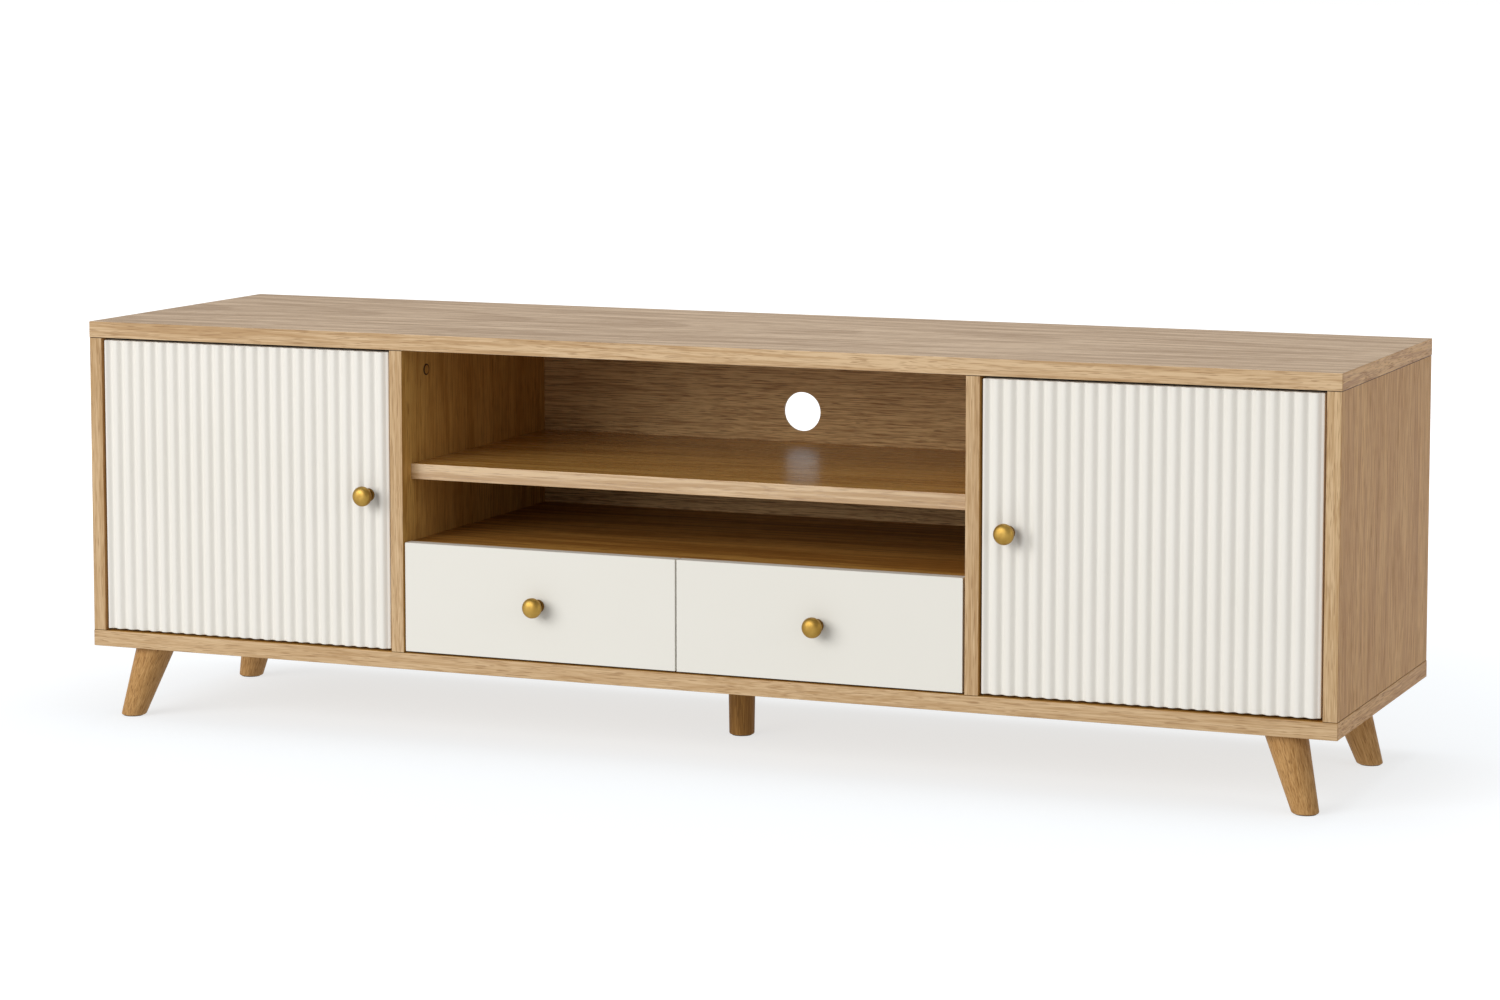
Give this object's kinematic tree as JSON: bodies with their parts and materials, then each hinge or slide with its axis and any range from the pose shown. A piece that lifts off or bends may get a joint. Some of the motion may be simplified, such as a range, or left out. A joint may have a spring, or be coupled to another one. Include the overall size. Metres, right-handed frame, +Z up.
{
  "type": "media cabinet",
  "caption": "Low oak media cabinet on splayed tapered legs with fluted cream doors, an open middle bay with a shelf and cable hole, and drawers with brass knobs.",
  "frame": {"origin": "centre of the footprint of the whole cabinet, knobs included, on the floor under the legs", "axes": "+Z up, front faces -Y, +X to the right as seen from the front"},
  "size_m": [1.6, 0.455, 0.5],
  "materials": {
    "oak": "satin oak veneer",
    "leg_oak": "satin stained solid wood",
    "back_oak": "satin oak veneer on thin board",
    "drawer_wood": "clear matt",
    "door_paint": "matt cream paint",
    "drawer_paint": "matt cream paint",
    "brass": "satin brushed brass",
    "steel": "nickel plated",
    "runner_steel": "zinc plated",
    "cap": "matt brown plastic"
  },
  "bodies": {
    "carcass": {"top_panel": "oak", "bottom_panel": "oak", "left_side_panel": "oak", "left_divider": "oak", "left_back_panel": "back_oak", "left_bay_shelf": "oak", "right_side_panel": "oak", "right_divider": "oak", "right_back_panel": "back_oak", "right_bay_shelf": "oak", "middle_shelf": "oak", "drawer_deck": "oak", "drawer_partition": "oak", "centre_back_panel": "back_oak", "cam_cover": "cap", "front_left_leg": "leg_oak", "front_right_leg": "leg_oak", "rear_left_leg": "leg_oak", "rear_right_leg": "leg_oak", "centre_leg": "leg_oak", "upper_left_hinge_arm": "steel", "upper_left_hinge_plate": "steel", "lower_left_hinge_arm": "steel", "lower_left_hinge_plate": "steel", "left_drawer_inner_cabinet_runner": "runner_steel", "left_drawer_outer_cabinet_runner": "runner_steel", "upper_right_hinge_arm": "steel", "upper_right_hinge_plate": "steel", "lower_right_hinge_arm": "steel", "lower_right_hinge_plate": "steel", "right_drawer_inner_cabinet_runner": "runner_steel", "right_drawer_outer_cabinet_runner": "runner_steel"},
    "left_door": {"left_door_panel": "door_paint", "left_door_knob": "brass", "left_door_knob_screw": "steel", "upper_left_hinge_cup": "steel", "lower_left_hinge_cup": "steel"},
    "left_drawer": {"left_drawer_front": "drawer_paint", "left_drawer_knob": "brass", "left_drawer_knob_screw": "steel", "left_drawer_inner_wall": "drawer_wood", "left_drawer_outer_wall": "drawer_wood", "left_drawer_back": "drawer_wood", "left_drawer_bottom": "drawer_wood", "left_drawer_inner_runner": "runner_steel", "left_drawer_outer_runner": "runner_steel"},
    "right_door": {"right_door_panel": "door_paint", "right_door_knob": "brass", "right_door_knob_screw": "steel", "upper_right_hinge_cup": "steel", "lower_right_hinge_cup": "steel"},
    "right_drawer": {"right_drawer_front": "drawer_paint", "right_drawer_knob": "brass", "right_drawer_knob_screw": "steel", "right_drawer_inner_wall": "drawer_wood", "right_drawer_outer_wall": "drawer_wood", "right_drawer_back": "drawer_wood", "right_drawer_bottom": "drawer_wood", "right_drawer_inner_runner": "runner_steel", "right_drawer_outer_runner": "runner_steel"}
  },
  "joints": [
    {"name": "left_door_hinge", "type": "hinge", "parent": "carcass", "child": "left_door", "pos_m": [-0.7625, -0.1915, 0.295], "axis": [0, 0, -1], "range_deg": [0, 95]},
    {"name": "right_door_hinge", "type": "hinge", "parent": "carcass", "child": "right_door", "pos_m": [0.7625, -0.1915, 0.295], "axis": [0, 0, 1], "range_deg": [0, 95]},
    {"name": "left_drawer_slide", "type": "slide", "parent": "carcass", "child": "left_drawer", "axis": [0, -1, 0], "range_m": [0, 0.26]},
    {"name": "right_drawer_slide", "type": "slide", "parent": "carcass", "child": "right_drawer", "axis": [0, -1, 0], "range_m": [0, 0.26]}
  ]
}
